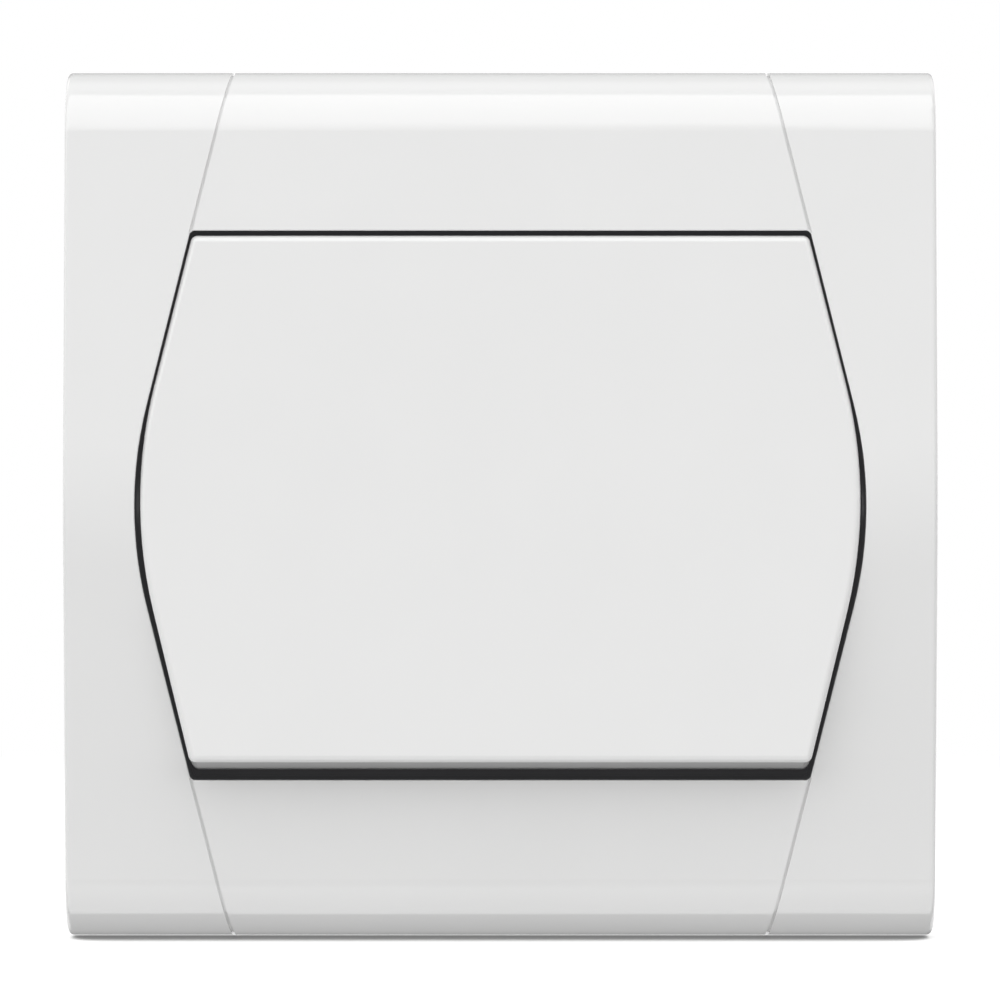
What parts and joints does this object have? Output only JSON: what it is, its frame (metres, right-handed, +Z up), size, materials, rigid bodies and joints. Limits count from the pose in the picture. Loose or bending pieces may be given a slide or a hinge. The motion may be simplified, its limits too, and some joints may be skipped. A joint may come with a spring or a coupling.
{
  "type": "two-way rocker wall switch",
  "caption": "White square wall switch with a wide barrel-sided rocker in a crested cover frame, and the flush insert with terminals, support ring and claws behind it.",
  "frame": {"origin": "centre of the wall plane, which is the back face of the support ring and the cover frame's rim", "axes": "+X right and +Z up as the user sees the switch, +Y into the wall, so the rocker faces -Y"},
  "size_m": [0.08, 0.0343, 0.08],
  "materials": {
    "white_plastic": "gloss",
    "charcoal_plastic": "matt",
    "grey_plastic": "matt",
    "ivory_plastic": "satin",
    "button_plastic": "satin",
    "zinc_steel": "satin",
    "screw_steel": "bright",
    "spring_steel": "bright",
    "brass": "satin",
    "copper": "satin",
    "contact_silver": "satin"
  },
  "bodies": {
    "fixed_parts": {"cover_frame": "white_plastic", "inner_surround": "charcoal_plastic", "support_ring": "zinc_steel", "insert_housing": "grey_plastic", "housing_cover": "grey_plastic", "assembly_screws": "screw_steel", "ring_rivets": "screw_steel", "common_terminal": "brass", "upper_terminal": "brass", "lower_terminal": "brass", "fixed_contact_tips": "contact_silver", "clamp_springs_left": "spring_steel", "clamp_springs_right": "spring_steel"},
    "rocker_unit": {"rocker": "white_plastic", "switch_cradle": "ivory_plastic", "contact_spring": "spring_steel"},
    "plunger": {"spring_plunger": "ivory_plastic"},
    "contact_arm": {"contact_rocker": "copper", "moving_contact_tips": "contact_silver"},
    "button_left": {"release_button_left": "button_plastic"},
    "claw_block_left": {"claw_left": "zinc_steel"},
    "claw_bolt_left": {"claw_screw_left": "screw_steel"},
    "button_right": {"release_button_right": "button_plastic"},
    "claw_block_right": {"claw_right": "zinc_steel"},
    "claw_bolt_right": {"claw_screw_right": "screw_steel"}
  },
  "joints": [
    {"name": "rocker_tilt", "type": "hinge", "parent": "fixed_parts", "child": "rocker_unit", "pos_m": [0, -0.00057, 0], "axis": [1, 0, 0], "range_deg": [0, 9]},
    {"name": "plunger_slide", "type": "slide", "parent": "rocker_unit", "child": "plunger", "axis": [0, -0.9969, 0.0785], "range_m": [0, 0.0006], "stiffness_N_per_m": 300, "deforming": ["contact_spring"]},
    {"name": "contact_flip", "type": "hinge", "parent": "fixed_parts", "child": "contact_arm", "pos_m": [0, 0.0134, 0], "axis": [1, 0, 0], "range_deg": [-16, 0]},
    {"name": "release_left_press", "type": "slide", "parent": "fixed_parts", "child": "button_left", "axis": [0, -1, 0], "range_m": [0, 0.0015], "stiffness_N_per_m": 400},
    {"name": "claw_screw_left_turn", "type": "hinge", "parent": "fixed_parts", "child": "claw_bolt_left", "pos_m": [-0.0235, -0.0006, 0], "axis": [0.2588, 0.9659, 0], "range_deg": [0, 4500]},
    {"name": "claw_left_travel", "type": "slide", "parent": "fixed_parts", "child": "claw_block_left", "axis": [-0.2588, -0.9659, 0], "range_m": [0, 0.01]},
    {"name": "release_right_press", "type": "slide", "parent": "fixed_parts", "child": "button_right", "axis": [0, -1, 0], "range_m": [0, 0.0015], "stiffness_N_per_m": 400},
    {"name": "claw_screw_right_turn", "type": "hinge", "parent": "fixed_parts", "child": "claw_bolt_right", "pos_m": [0.0235, -0.0006, 0], "axis": [-0.2588, 0.9659, 0], "range_deg": [0, 4500]},
    {"name": "claw_right_travel", "type": "slide", "parent": "fixed_parts", "child": "claw_block_right", "axis": [0.2588, -0.9659, 0], "range_m": [0, 0.01]}
  ],
  "couplings": [
    {"joint": "contact_flip", "follows": "rocker_tilt", "ratio": -1.7778},
    {"joint": "claw_screw_left_turn", "follows": "claw_left_travel", "rad_per_m": 7854},
    {"joint": "claw_screw_right_turn", "follows": "claw_right_travel", "rad_per_m": 7854}
  ]
}
